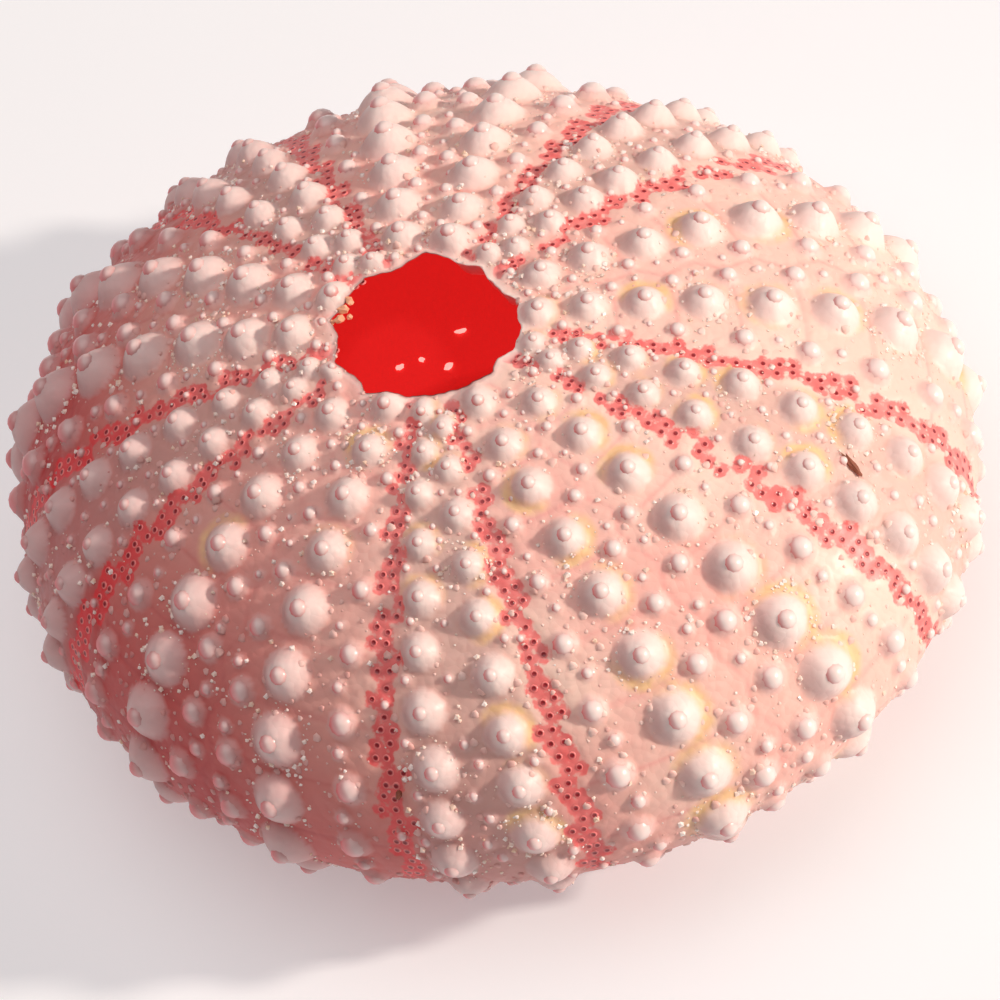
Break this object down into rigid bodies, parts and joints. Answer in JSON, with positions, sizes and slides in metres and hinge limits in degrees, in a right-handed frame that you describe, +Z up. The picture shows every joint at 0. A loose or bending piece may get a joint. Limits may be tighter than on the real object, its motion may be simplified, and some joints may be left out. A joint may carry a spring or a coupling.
{
  "type": "sea urchin shell",
  "caption": "Empty hollow shell of a regular sea urchin: flattened oval dome with columns of tubercles, a scalloped opening on top and a wide mouth below.",
  "frame": {"origin": "on the plane it rests on, under the middle of the mouth and of the top opening", "axes": "+Z up through the top opening, +X along the shell's longer diameter"},
  "size_m": [0.0624, 0.0557, 0.0253],
  "materials": {
    "calcite_shell": "waxy translucent calcite, pearly cream tubercles on coral pink"
  },
  "bodies": {
    "root": {"shell": "calcite_shell"}
  },
  "joints": []
}
